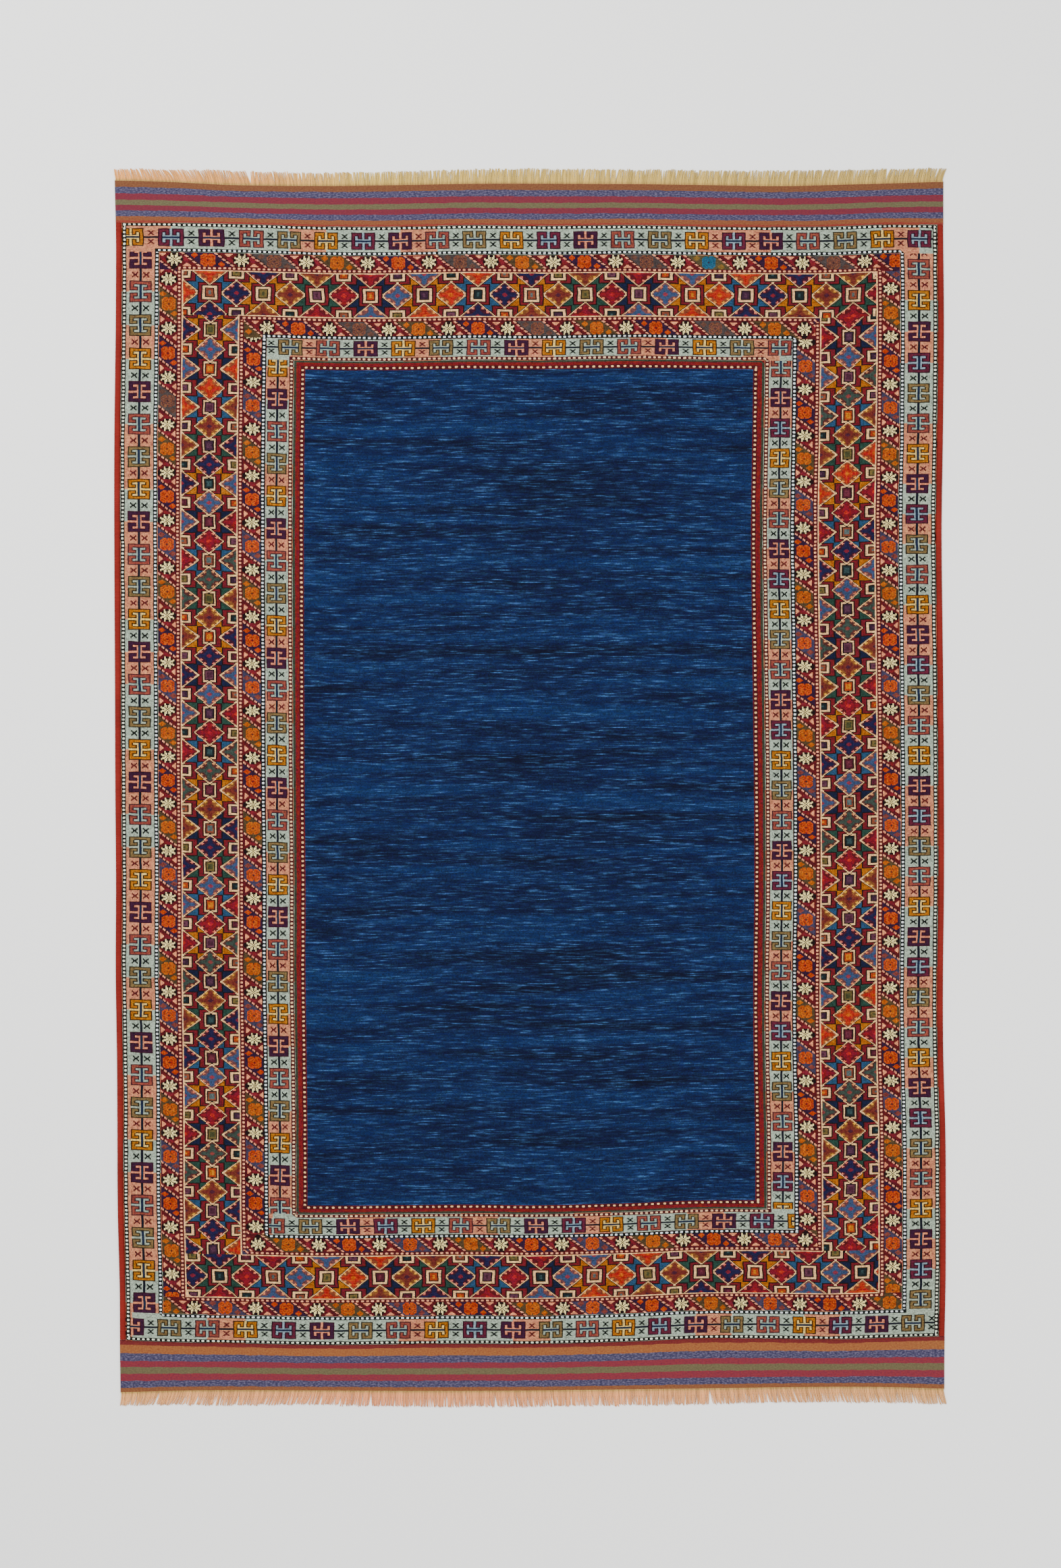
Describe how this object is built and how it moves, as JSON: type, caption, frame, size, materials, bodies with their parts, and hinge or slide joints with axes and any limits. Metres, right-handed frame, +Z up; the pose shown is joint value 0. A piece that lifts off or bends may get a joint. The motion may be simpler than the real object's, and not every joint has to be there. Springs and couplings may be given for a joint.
{
  "type": "afghan rug",
  "caption": "Flat rectangular knotted wool rug with flat-woven striped ends, overcast sides and short warp fringes at both ends.",
  "frame": {"origin": "on the floor under the middle of the rug's outline, fringes included", "axes": "+Z up out of the pile, +Y along the warps towards the end at the top of the picture, +X across the warps to the right of the picture"},
  "size_m": [2.009, 2.9959, 0.0096],
  "materials": {
    "wool_pile": "cut wool pile, matte",
    "overcast_wool": "overcast wool yarn, matte",
    "undyed_warp": "twisted undyed wool yarn, matte"
  },
  "bodies": {
    "root": {"rug_body": "wool_pile", "selvedge_left": "overcast_wool", "selvedge_right": "overcast_wool", "fringe_top": "undyed_warp", "fringe_bottom": "undyed_warp"}
  },
  "joints": []
}
